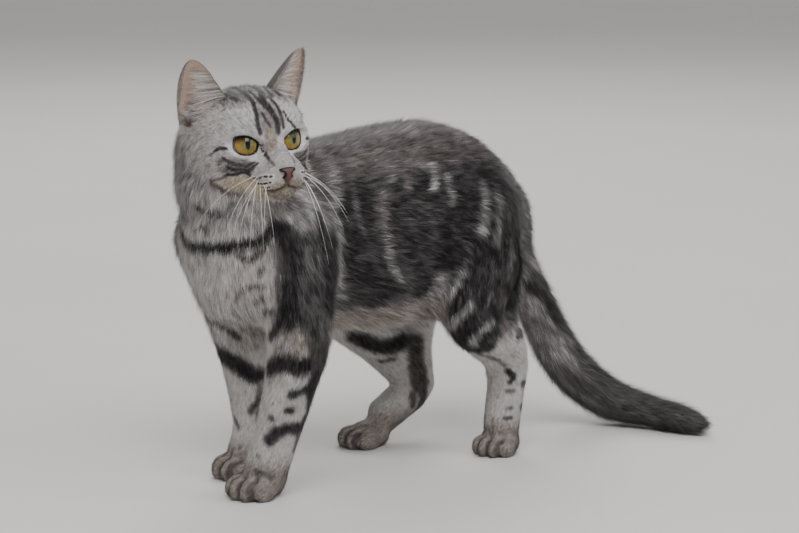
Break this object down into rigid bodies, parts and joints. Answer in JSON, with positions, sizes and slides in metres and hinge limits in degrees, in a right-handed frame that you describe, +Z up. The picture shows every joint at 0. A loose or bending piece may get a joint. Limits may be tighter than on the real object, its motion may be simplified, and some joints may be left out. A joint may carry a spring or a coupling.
{
  "type": "cat",
  "caption": "Life-size still model of a short-haired silver tabby cat, standing with its head turned over its left shoulder and its tail down to the floor.",
  "frame": {"origin": "middle of the bottom of the model's box, on the floor the cat stands on", "axes": "+Z up; the cat's body faces -Y and its left side is +X; its head is turned towards +X"},
  "size_m": [0.1907, 0.4185, 0.3098],
  "materials": {
    "coat": "short dense fur, silver grey with charcoal tabby stripes",
    "paw_coat": "very short pale brownish grey fur",
    "eye": "glossy amber iris with a dark upright pupil",
    "nose_leather": "damp brick red skin with a dark rim"
  },
  "bodies": {
    "root": {"head": "coat", "ear_left": "coat", "ear_right": "coat", "neck": "coat", "trunk": "coat", "foreleg_left": "coat", "foreleg_right": "coat", "hindleg_left": "coat", "hindleg_right": "coat", "tail_base": "coat", "tail_middle": "coat", "tail_tip": "coat", "forepaw_left": "paw_coat", "forepaw_right": "paw_coat", "hindfoot_left": "paw_coat", "hindfoot_right": "paw_coat", "eye_left": "eye", "eye_right": "eye", "nose": "nose_leather"}
  },
  "joints": []
}
